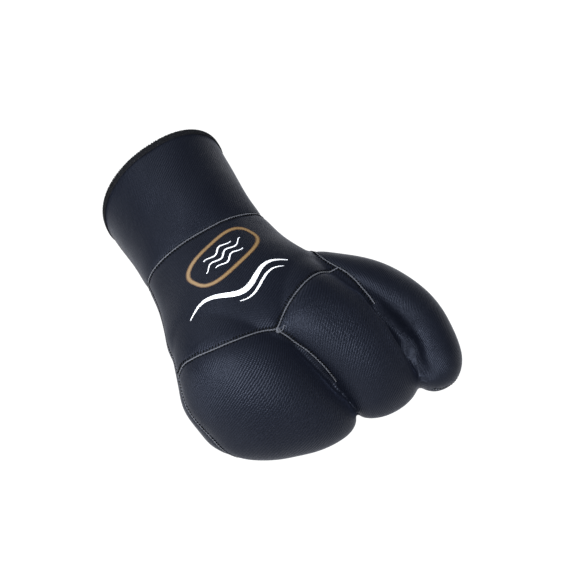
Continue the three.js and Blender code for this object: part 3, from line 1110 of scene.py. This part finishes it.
def curveFrames(curve, closed):
    along = directions(curve)
    normals = smoothed([outerNormals[outerTree.find(point)[1]] for point in curve], closed, 12)
    normals = unitRows(normals - (normals * along).sum(axis=1)[:, None] * along)
    heights = np.array([heightOver(p, n, -1.5) for p, n in zip(curve, normals)])
    return normals, np.cross(along, normals), smoothed(np.maximum(heights, -4.5), closed, 6)


# One tick: a short thread from the cord, over the cloth and down into it
def tickPath(frames, middle, side, reach):
    curve, normals, sideways, heights = frames
    path = []
    for share, lift in stitch["profile"]:
        onward = middle + stitch["slant"] * share * reach / seamSpacing
        k = int(np.clip(round(onward), 0, len(curve) - 1))
        place = curve[k] + sideways[k] * side * reach * share
        path.append(place + normals[k] * (heightOver(place, normals[k], heights[k]) + lift))
    return path


ticks = Heap()
cords = Heap()
for name, found in seams.items():
    for curve, closed in found:
        normals, sideways, heights = curveFrames(curve, closed)
        if (sideways @ longTicks[name]).sum() < 0:
            sideways = -sideways
        run = np.arange(len(curve)) * seamSpacing
        beads = stitch["cordRadius"] * (1 + 0.1 * np.sin(run * turn / 1.1 + 1.3 * np.sin(run / 9)))
        cordPath = curve + normals * heights[:, None] + normals * stitch["cordLift"]
        cords.add(*tubeMesh(cordPath, beads, stitch["cordSides"]))
        count = int(run[-1] / stitch["pitch"])
        for i in range(2 * count):
            side = 1 if i % 2 == 0 else -1
            reach = stitch["reach"] if side > 0 else stitch["shortReach"]
            reach *= 1 + 0.12 * math.sin(i * 2.7)
            middle = (i + 0.5) / (2 * count) * (len(curve) - 1)
            path = tickPath((curve, normals, sideways, heights), middle, side, reach)
            ticks.add(*tubeMesh(path, stitch["tickRadius"], stitch["tickSides"]))

# The threads' ends are tied off in a small curl where the three seams meet
knot = {"place": (-6, -19.5, 71), "radius": 1.5, "turns": 2.2, "thread": 0.4, "tail": 4.5}
spot, facing, _, _ = drawnTree.find_nearest(knot["place"])
facing = np.array(facing)
sideAlong = np.cross(facing, (0, 1, 0))
sideAlong /= np.linalg.norm(sideAlong)
sideAcross = np.cross(facing, sideAlong)
curl = []
for i in range(34):
    share = i / 33
    angle = turn * knot["turns"] * share
    radius = knot["radius"] * (1 - 0.45 * share)
    curl.append(np.array(spot) + sideAlong * radius * math.cos(angle)
                + sideAcross * radius * math.sin(angle) + facing * (0.7 + 0.9 * share))
cords.add(*tubeMesh(curl, knot["thread"], 6))
tail = []
for i in range(12):
    reach = knot["radius"] + knot["tail"] * i / 11
    away = np.array(spot) - sideAlong * reach + sideAcross * 0.8 * math.sin(i * 0.5)
    tail.append(onSkin(away, 0.5 + 0.4 * math.sin(i * 0.7)))
cords.add(*tubeMesh(tail, knot["thread"] * 0.8, 6))
seamCord = cords.piece("seam_cords")
seamTicks = ticks.piece("seam_ticks")
print("seams sewn:", len(seamTicks.data.polygons), "tick faces")

# The rim: a mat of overlock thread folded over the cuff's end, with its loops standing out
rim = {
    "band": 4.5,
    "matLift": 0.35,
    "loops": 190,
    "threadRadius": 0.34,
    "slant": 0.35,
    "sides": 6,
    "edgeRound": 2.2,
    "matRows": 220,
    "matSteps": 22,
    "loopSteps": 12,
}


# The rim's own path over the cuff's end at one angle: outside, over the rounded edge, inside
def rimPath(angle, lift, steps, slant=0.0):
    radius = rim["edgeRound"]
    straight = rim["band"] - radius
    across = mitt["neoprene"] - 2 * radius
    quarter = radius * math.pi / 2
    ends = np.cumsum([0, straight, quarter, across, quarter, straight])
    headings = np.array([0, 0, 1, 1, 2, 2]) * math.pi / 2
    path = []
    for share in np.arange(steps + 1) / steps:
        run = ends[-1] * share
        heading = np.interp(run, ends, headings)
        reach = radius + lift
        y = rimY - radius - max(0, straight - run, run - ends[-2]) + reach * math.sin(heading)
        depth = radius + min(max(run - ends[2], 0), across) - reach * math.cos(heading)
        at = np.array([angle + slant * (share - 0.5)])
        path.append(ringPoints(handSection(y, depth), at)[0])
    return np.array(path)


matRows = []
for i in range(rim["matRows"]):
    angle = turn * i / rim["matRows"]
    lump = 0.06 * math.sin(7.3 * angle) + 0.05 * math.sin(23 * angle + 1)
    outside = rimPath(angle, rim["matLift"] + lump, rim["matSteps"])
    inside = rimPath(angle, -0.25, rim["matSteps"])
    matRows.append(np.concatenate([outside, inside[::-1]]))
rimHeap = Heap()
rimHeap.add(*skinOver(matRows, True))
for i in range(rim["loops"]):
    angle = turn * i / rim["loops"] + 0.004 * math.sin(i * 2.4)
    lift = rim["matLift"] + 0.5 * rim["threadRadius"]
    path = rimPath(angle, lift, rim["loopSteps"], rim["slant"] * 0.1)
    rimHeap.add(*tubeMesh(path, rim["threadRadius"], rim["sides"]))
for edgeStep in (0, rim["loopSteps"]):
    chain = []
    for i in range(rim["loops"] * 2):
        angle = turn * i / (rim["loops"] * 2)
        lift = rim["matLift"] + 0.3 + 0.16 * math.cos(math.pi * i)
        chain.append(rimPath(angle, lift, rim["loopSteps"])[edgeStep])
    rimHeap.add(*tubeMesh(chain, rim["threadRadius"] * 0.9, 5, closed=True))
rimPiece = rimHeap.piece("cuff_overlock")
print("rim overlocked:", len(rimPiece.data.polygons), "faces")

# A plain printed badge on the back of the hand: a gold ring round three waves, and two long
# white waves below them. x, y in the drawing frame.
badge = {
    "middle": (-5, 49),
    "halfLength": 30,
    "halfHeight": 14,
    "turn": 17,
    "rings": [("gold", 0, 1.9), ("bronze", 1.25, 0.5), ("bronze", -1.25, 0.5)],
    "shortWaves": [(5.6, 13), (0, 20), (-5.6, 13)],
    "longWaves": [(0, 1, 18, 3.6), (0.42, 0.93, 11.6, 1.3)],
    "lift": 0.12,
    "depth": 0.27,
}


def dropped(x, y, lift):
    spot, normal, _, _ = drawnTree.ray_cast(Vector((x, y, 200)), Vector((0, 0, -1)))
    return np.array(spot) + np.array(normal) * lift, np.array(normal)


# A printed stroke that lies on the cloth: a thin closed strip along flat points
def stroke(heap, line, widths, closed=False):
    line = np.array(line, float)
    widths = np.full(len(line), widths) if np.isscalar(widths) else np.array(widths)
    along = directions(line, closed)
    across = np.stack([-along[:, 1], along[:, 0]], axis=1)
    rows = []
    for point, side, width in zip(line, across, widths):
        left, normalLeft = dropped(*(point + side * width / 2), badge["lift"])
        right, normalRight = dropped(*(point - side * width / 2), badge["lift"])
        rows.append([left, right, right - normalRight * badge["depth"],
                     left - normalLeft * badge["depth"]])
    heap.add(*skinOver(rows, closed))


def badgePoint(x, y):
    c, s = math.cos(badge["turn"] * degree), math.sin(badge["turn"] * degree)
    return badge["middle"][0] + c * x - s * y, badge["middle"][1] + s * x + c * y


prints = {"gold": Heap(), "bronze": Heap(), "white": Heap()}
for ink, grow, width in badge["rings"]:
    ringLine = []
    for i in range(140):
        angle = turn * i / 140
        c, s = math.cos(angle), math.sin(angle)
        ringLine.append(badgePoint(
            (badge["halfLength"] + grow) * math.copysign(abs(c) ** 0.62, c),
            (badge["halfHeight"] + grow) * math.copysign(abs(s) ** 0.72, s)))
    stroke(prints[ink], ringLine, width, closed=True)
for row, halfRun in badge["shortWaves"]:
    line = [badgePoint(x, row + 1.6 * math.sin(x * 0.4)) for x in
            np.linspace(-halfRun, halfRun, 60)]
    stroke(prints["white"], line, 0.4 + 0.8 * np.sin(np.linspace(0, math.pi, 60)) ** 0.6)
for first, last, height, thick in badge["longWaves"]:
    shares = np.linspace(0, 1, 110)
    line = [(-52 + 82 * t, height + 3 * t + 5 * math.sin(turn * 1.5 * t))
            for t in first + (last - first) * shares]
    widths = 0.35 + thick * np.sin(math.pi * (0.02 + 0.96 * shares)) ** 1.2
    stroke(prints["white"], line, widths)
goldPrint = prints["gold"].piece("print_ring")
bronzePrint = prints["bronze"].piece("print_ring_edges")
whitePrint = prints["white"].piece("print_waves")
print("badge printed")
bpy.data.objects.remove(outerOnly)

# Everything moves from the drawing frame to the finished one
details = [seamCord, seamTicks, rimPiece, goldPrint, bronzePrint, whitePrint]
for piece in details:
    turnOutward(piece)
for piece in list(panels.values()) + details:
    piece.data.transform(Matrix.Translation(Vector(mitt["shift"]) * mm))
    choose(piece)
    bpy.ops.object.shade_smooth_by_angle(angle=50 * degree)


def addNode(tree, kind, links=(), **settings):
    node = tree.nodes.new(kind)
    for name, value in settings.items():
        setattr(node, name, value)
    for socket, value in links:
        target = node.inputs[socket]
        if isinstance(value, bpy.types.NodeSocket):
            tree.links.new(value, target)
        else:
            target.default_value = value
    return node


def addMath(tree, operation, *values):
    return addNode(tree, "ShaderNodeMath", enumerate(values), operation=operation).outputs[0]


def addNoise(tree, place, scale, detail):
    links = [("Vector", place), ("Scale", scale), ("Detail", detail)]
    return addNode(tree, "ShaderNodeTexNoise", links).outputs["Fac"]


# Maps a value from one range to another
def addRange(tree, value, low, high, newLow=0.0, newHigh=1.0):
    links = [("Value", value), ("From Min", low), ("From Max", high), ("To Min", newLow),
             ("To Max", newHigh)]
    return addNode(tree, "ShaderNodeMapRange", links).outputs["Result"]


# A node group with its sockets: a vector, then floats with their own values, and outputs
def newGroup(name, vector, floats, outputs):
    tree = bpy.data.node_groups.new(name, "ShaderNodeTree")
    tree.interface.new_socket(vector, in_out="INPUT", socket_type="NodeSocketVector")
    for label, value in floats:
        socket = tree.interface.new_socket(label, in_out="INPUT", socket_type="NodeSocketFloat")
        socket.default_value = value
    for label in outputs:
        tree.interface.new_socket(label, in_out="OUTPUT", socket_type="NodeSocketFloat")
    given = tree.nodes.new("NodeGroupInput").outputs
    return tree, given, tree.nodes.new("NodeGroupOutput").inputs


# Diagonal ribs of the knit, crossed by a finer set: gives a height, and a mask that paints light
# on the rib tops and shade in the rib valleys
def makeKnitGroup():
    tree, given, result = newGroup(
        "knitRibs", "Cloth", [("Rib Scale", 240.0), ("Cross Scale", 330.0), ("Unevenness", 0.75)],
        ["Height", "PaintedRibLight"])
    sets = []
    for scale, slope, distortion in (("Rib Scale", 52, 0.6), ("Cross Scale", -40, 0.8)):
        turned = addNode(tree, "ShaderNodeMapping", [
            ("Vector", given["Cloth"]), ("Rotation", (0, 0, slope * degree))])
        ribs = addNode(tree, "ShaderNodeTexWave", [
            ("Vector", turned.outputs["Vector"]), ("Scale", given[scale]),
            ("Distortion", distortion), ("Detail", 1.0), ("Detail Scale", 2.0)])
        sets.append(ribs.outputs["Fac"])
    uneven = addNoise(tree, given["Cloth"], 900.0, 2.0)
    weave = addMath(tree, "MULTIPLY_ADD", sets[1], 0.3, addMath(tree, "MULTIPLY", sets[0], 0.7))
    height = addMath(tree, "MULTIPLY_ADD", uneven, given["Unevenness"], weave)
    tree.links.new(height, result["Height"])
    tree.links.new(addRange(tree, height, 0.45, 1.25), result["PaintedRibLight"])
    return tree


# Slow blotches and faint lint over any cloth or thread
def makeLintGroup():
    tree, given, result = newGroup(
        "lintAndBlotches", "Place", [("Lint", 0.2)], ["Blotch", "Specks"])
    tree.links.new(addNoise(tree, given["Place"], 38.0, 3.0), result["Blotch"])
    speck = addNoise(tree, given["Place"], 1500.0, 1.0)
    tree.links.new(addRange(tree, speck, 0.66, 0.8, newHigh=given["Lint"]), result["Specks"])
    return tree


knitGroup = makeKnitGroup()
lintGroup = makeLintGroup()


def mixColour(tree, share, first, second):
    links = [(0, share), (6, first), (7, second)]
    return addNode(tree, "ShaderNodeMix", links, data_type="RGBA").outputs[2]


def addLint(tree, place, **amounts):
    lint = addNode(tree, "ShaderNodeGroup", [("Place", place)], node_tree=lintGroup)
    for socket, amount in amounts.items():
        lint.inputs[socket].default_value = amount
    return lint.outputs


def linkBump(tree, shader, height, strength, distance):
    bump = addNode(tree, "ShaderNodeBump", [
        ("Height", height), ("Strength", strength), ("Distance", distance)])
    tree.links.new(bump.outputs["Normal"], shader.inputs["Normal"])


def newMaterial(name, **settings):
    material = bpy.data.materials.new(name)
    material.use_nodes = True
    shader = material.node_tree.nodes["Principled BSDF"]
    for socket, value in settings.items():
        shader.inputs[socket.replace("_", " ")].default_value = value
    return material, material.node_tree, shader


# Navy-black nylon jersey. Dark and light are the colours of the rib valleys and rib tops: painted
# shade and painted light of the knit
jersey = {
    "dark": (0.0007, 0.0009, 0.002, 1),
    "light": (0.0064, 0.0078, 0.0135, 1),
    "middle": (0.0023, 0.0029, 0.0055, 1),
    "worn": (0.008, 0.0095, 0.014, 1),
    "lint": (0.06, 0.065, 0.08, 1),
    # Near-black painted shade for the grooves beside the seams, and how fast it falls off away
    # from them
    "paintedSeamShade": (0.0002, 0.0002, 0.0004, 1),
    "paintedShadeFall": 4,
    "wear": 0.28,
    "ribHeight": 0.00026,
}


def makeJersey(name, offset):
    material, tree, shader = newMaterial(
        name, Roughness=0.46, Specular_IOR_Level=0.2, Specular_Tint=(0.7, 0.78, 1, 1),
        Sheen_Weight=0.03, Sheen_Roughness=0.4, Sheen_Tint=(0.5, 0.6, 1, 1))
    cloth = addNode(tree, "ShaderNodeUVMap", uv_map="UVMap").outputs["UV"]
    place = addNode(tree, "ShaderNodeTexCoord").outputs["Object"]
    moved = addNode(tree, "ShaderNodeMapping", [("Vector", place), ("Location", offset)])
    knit = addNode(tree, "ShaderNodeGroup", [("Cloth", cloth)], node_tree=knitGroup).outputs
    lint = addLint(tree, moved.outputs["Vector"])
    near = addNode(tree, "ShaderNodeAttribute", attribute_name="seamCloseness").outputs["Fac"]
    # Painted light and shade of the knit: rib tops lighter, rib valleys darker
    base = mixColour(tree, knit["PaintedRibLight"], jersey["dark"], jersey["light"])
    blotched = mixColour(tree, lint["Blotch"], base, jersey["middle"])
    wear = addMath(tree, "MULTIPLY", near, jersey["wear"])
    worn = mixColour(tree, wear, blotched, jersey["worn"])
    linted = mixColour(tree, lint["Specks"], worn, jersey["lint"])
    # Painted shade in the grooves beside the seams: near-black close to them, and rougher there
    # too
    paintedSeamShade = addMath(tree, "POWER", near, jersey["paintedShadeFall"])
    final = mixColour(tree, paintedSeamShade, linted, jersey["paintedSeamShade"])
    tree.links.new(final, shader.inputs["Base Color"])
    rough = addRange(tree, lint["Blotch"], 0.3, 0.7, 0.4, 0.52)
    dulled = addMath(tree, "MULTIPLY_ADD", paintedSeamShade, 0.5, rough)
    tree.links.new(dulled, shader.inputs["Roughness"])
    linkBump(tree, shader, knit["Height"], 0.7, jersey["ribHeight"])
    return material


# Threads: darker in the valleys of the plies and lighter on their tops, as painted shade and
# painted light of the plies, and how they shine
threads = {
    # The ticks are near-black: painted shade for the gaps between the stitches
    "seam_tick": {
        "dark": (0.0003, 0.0003, 0.0004, 1), "light": (0.0012, 0.0013, 0.002, 1),
        "plies": 700, "lint": 0, "specular": 0.06, "sheen": 0.01,
    },
    "seam_cord": {
        "dark": (0.025, 0.027, 0.033, 1), "light": (0.12, 0.125, 0.145, 1),
        "plies": 900, "lint": 0.35, "specular": 0.3, "sheen": 0.15,
    },
    "overlock": {
        "dark": (0.001, 0.0012, 0.0016, 1), "light": (0.013, 0.0135, 0.016, 1),
        "plies": 700, "lint": 0.35, "specular": 0.06, "sheen": 0.01,
    },
}
# Inks: colour, worn colour and roughness
inks = {
    "gold_ink": ((0.2, 0.122, 0.048, 1), (0.12, 0.07, 0.03, 1), 0.42),
    "bronze_ink": ((0.09, 0.045, 0.016, 1), (0.05, 0.025, 0.01, 1), 0.46),
    "white_ink": ((0.82, 0.83, 0.85, 1), (0.5, 0.51, 0.55, 1), 0.5),
}


def makeThread(name):
    thread = threads[name]
    material, tree, shader = newMaterial(
        name, Roughness=0.6, Specular_IOR_Level=thread["specular"],
        Sheen_Weight=thread["sheen"], Sheen_Roughness=0.4)
    place = addNode(tree, "ShaderNodeTexCoord").outputs["Object"]
    lint = addLint(tree, place, Lint=thread["lint"])
    plies = addNode(tree, "ShaderNodeTexWave", [
        ("Vector", place), ("Scale", thread["plies"]), ("Distortion", 2.0), ("Detail", 1.0)],
        bands_direction="DIAGONAL").outputs["Fac"]
    # Painted shade and light of the plies: valleys darker, tops lighter
    base = mixColour(tree, plies, thread["dark"], thread["light"])
    linted = mixColour(tree, lint["Specks"], base, (0.16, 0.165, 0.175, 1))
    tree.links.new(linted, shader.inputs["Base Color"])
    linkBump(tree, shader, plies, 0.5, 0.0001)
    return material


def makeInk(name):
    colour, edge, roughness = inks[name]
    material, tree, shader = newMaterial(name, Specular_IOR_Level=0.45)
    place = addNode(tree, "ShaderNodeTexCoord").outputs["Object"]
    lint = addLint(tree, place, Lint=0.5)
    tree.links.new(mixColour(tree, lint["Specks"], colour, edge), shader.inputs["Base Color"])
    blotch = addRange(tree, lint["Blotch"], 0.35, 0.75, roughness - 0.06, roughness + 0.1)
    tree.links.new(blotch, shader.inputs["Roughness"])
    linkBump(tree, shader, addNoise(tree, place, 1100.0, 1.0), 0.4, 0.00012)
    return material


def dress(piece, material):
    piece.data.materials.clear()
    piece.data.materials.append(material)
    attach(piece, "root")


for i, (name, piece) in enumerate(panels.items()):
    dress(piece, makeJersey("jersey_" + name, (0.13 * i, 0.07 * i, 0)))
    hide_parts(name)
for piece, name in ((seamTicks, "seam_tick"), (seamCord, "seam_cord"), (rimPiece, "overlock")):
    dress(piece, makeThread(name))
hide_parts("cuff_edge")
for piece, name in ((goldPrint, "gold_ink"), (bronzePrint, "bronze_ink"),
                    (whitePrint, "white_ink")):
    dress(piece, makeInk(name))
print("materials set")

# Studio: pale floor, soft light and the camera at the photograph's angle
studio = {
    "azimuth": -34,
    "elevation": 55,
    "distance": 1100,
    "target": (5, 30, 40),
    "focal": 1550,
    "principal": (250.5, 299.5),
    "pixels": 570,
}
bpy.ops.object.select_all(action="DESELECT")
bpy.ops.mesh.primitive_plane_add(size=6, location=(0, 0, -0.0002))
floor = bpy.context.active_object
floor.name = "floor"
floor.data.materials.append(newMaterial(
    "pale_floor", Roughness=0.9, Specular_IOR_Level=0.1, Base_Color=(0.1, 0.1, 0.1, 1),
    Emission_Color=(1, 1, 1, 1), Emission_Strength=0.98)[0])

azimuth, elevation = studio["azimuth"] * degree, studio["elevation"] * degree
back = Vector((math.sin(azimuth) * math.cos(elevation), -math.cos(azimuth) * math.cos(elevation),
               math.sin(elevation)))
right = Vector((math.cos(azimuth), math.sin(azimuth), 0))
upward = back.cross(right)
target = (Vector(studio["target"]) + Vector(mitt["shift"])) * mm
centrePixel = studio["pixels"] / 2
aim = (-back + right * (centrePixel - studio["principal"][0]) / studio["focal"]
       - upward * (centrePixel - studio["principal"][1]) / studio["focal"]).normalized()
sideAxis = (right - right.dot(aim) * aim).normalized()
topAxis = sideAxis.cross(aim)
cameraData = bpy.data.cameras.new("camera")
cameraData.sensor_width = 36
cameraData.lens = 36 * studio["focal"] / studio["pixels"]
cameraData.clip_end = 20
camera = bpy.data.objects.new("camera", cameraData)
bpy.context.scene.collection.objects.link(camera)
rotation = Matrix((sideAxis, topAxis, -aim)).transposed().to_4x4()
camera.matrix_world = Matrix.Translation(target + back * studio["distance"] * mm) @ rotation
bpy.context.scene.camera = camera


# Square lamps that all look at the mitt: name, place, size in metres and power
lamps = [
    ("key", (-0.36, -0.57, 1.1), 0.6, 28),
    ("left_fill", (-1.2, -0.3, 0.3), 0.6, 14),
    ("back_fill", (-0.2, 1.1, 1.1), 0.9, 10),
]
lampAim = Vector((0, 0, 0.03))
for name, place, size, power in lamps:
    light = bpy.data.lights.new(name, "AREA")
    light.shape = "SQUARE"
    light.size = size
    light.energy = power
    light.color = (0.92, 0.95, 1)
    lamp = bpy.data.objects.new(name, light)
    bpy.context.scene.collection.objects.link(lamp)
    facing = (lampAim - Vector(place)).to_track_quat("-Z", "Y").to_matrix().to_4x4()
    lamp.matrix_world = Matrix.Translation(Vector(place)) @ facing
world = bpy.data.worlds.new("studio")
world.use_nodes = True
world.node_tree.nodes["Background"].inputs["Color"].default_value = (0.88, 0.93, 1, 1)
world.node_tree.nodes["Background"].inputs["Strength"].default_value = 0.2
bpy.context.scene.world = world
bpy.context.scene.view_settings.view_transform = "Standard"
bpy.context.scene.view_settings.look = "None"
print("studio lit")
